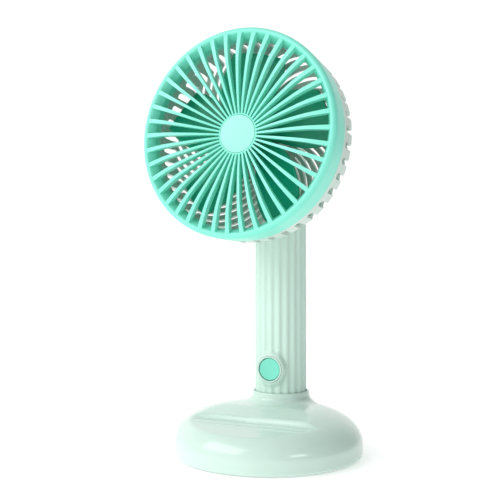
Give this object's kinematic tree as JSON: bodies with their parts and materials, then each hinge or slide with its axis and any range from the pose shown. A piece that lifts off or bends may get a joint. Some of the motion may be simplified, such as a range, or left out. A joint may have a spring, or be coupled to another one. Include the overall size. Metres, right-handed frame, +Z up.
{
  "type": "handheld electric fan",
  "caption": "Small rechargeable fan with a round ribbed grille and impeller on a fluted handle, standing in a round weighted base with a phone ledge.",
  "frame": {"origin": "centre of the round base, on the surface that it stands on (the underside of the anti-slip pad)", "axes": "+Z up, the fan blows towards -Y, +X to the right of someone standing behind the fan"},
  "size_m": [0.1048, 0.1, 0.2167],
  "materials": {
    "gloss_mint": "glossy pale mint ABS",
    "satin_mint": "satin pale mint ABS",
    "pale_mint": "matt pale mint ABS",
    "aqua": "satin aqua ABS",
    "button_aqua": "satin aqua ABS",
    "teal": "satin teal plastic, slightly see-through",
    "rubber": "matt black foam rubber",
    "screw_steel": "zinc-plated steel",
    "ballast_steel": "punched steel sheet",
    "motor_steel": "plated steel",
    "nickel": "nickel-plated steel",
    "board_green": "solder-masked glass-epoxy board",
    "black_plastic": "black plastic and cable sleeve",
    "cell_wrap": "shrink wrap over a cylindrical cell"
  },
  "bodies": {
    "base": {"base_cover": "gloss_mint", "base_plate": "pale_mint", "ballast_plate": "ballast_steel", "anti_slip_pad": "rubber", "socket_pad": "rubber", "base_screw_1": "screw_steel", "base_screw_2": "screw_steel", "base_screw_3": "screw_steel"},
    "fan_unit": {"front_grille": "aqua", "grille_cap": "aqua", "rear_housing": "pale_mint", "neck_lock_ring": "motor_steel", "motor_can": "motor_steel", "motor_end_cap": "black_plastic", "motor_cable": "black_plastic", "handle_front": "satin_mint", "handle_rear": "satin_mint", "handle_screw_1": "screw_steel", "handle_screw_2": "screw_steel", "handle_end_cap": "satin_mint", "handle_top_cap": "satin_mint", "button_bezel": "satin_mint", "tact_switch": "black_plastic", "circuit_board": "board_green", "charge_board": "board_green", "charging_port": "nickel", "battery_cell": "cell_wrap", "battery_tab_lower": "nickel", "battery_tab_upper": "nickel"},
    "impeller": {"impeller": "teal", "motor_shaft": "motor_steel"},
    "button": {"power_button": "button_aqua", "switch_plunger": "black_plastic"}
  },
  "joints": [
    {"name": "handle_lift", "type": "slide", "parent": "base", "child": "fan_unit", "axis": [0, 0, 1], "range_m": [0, 0.03]},
    {"name": "impeller_spin", "type": "hinge", "parent": "fan_unit", "child": "impeller", "pos_m": [0, -0.0392, 0.1644], "axis": [0, -0.9973, 0.0732], "continuous": true},
    {"name": "button_press", "type": "slide", "parent": "fan_unit", "child": "button", "axis": [0, 1, 0], "range_m": [0, 0.0008], "stiffness_N_per_m": 1200, "springref_m": -0.0004}
  ]
}
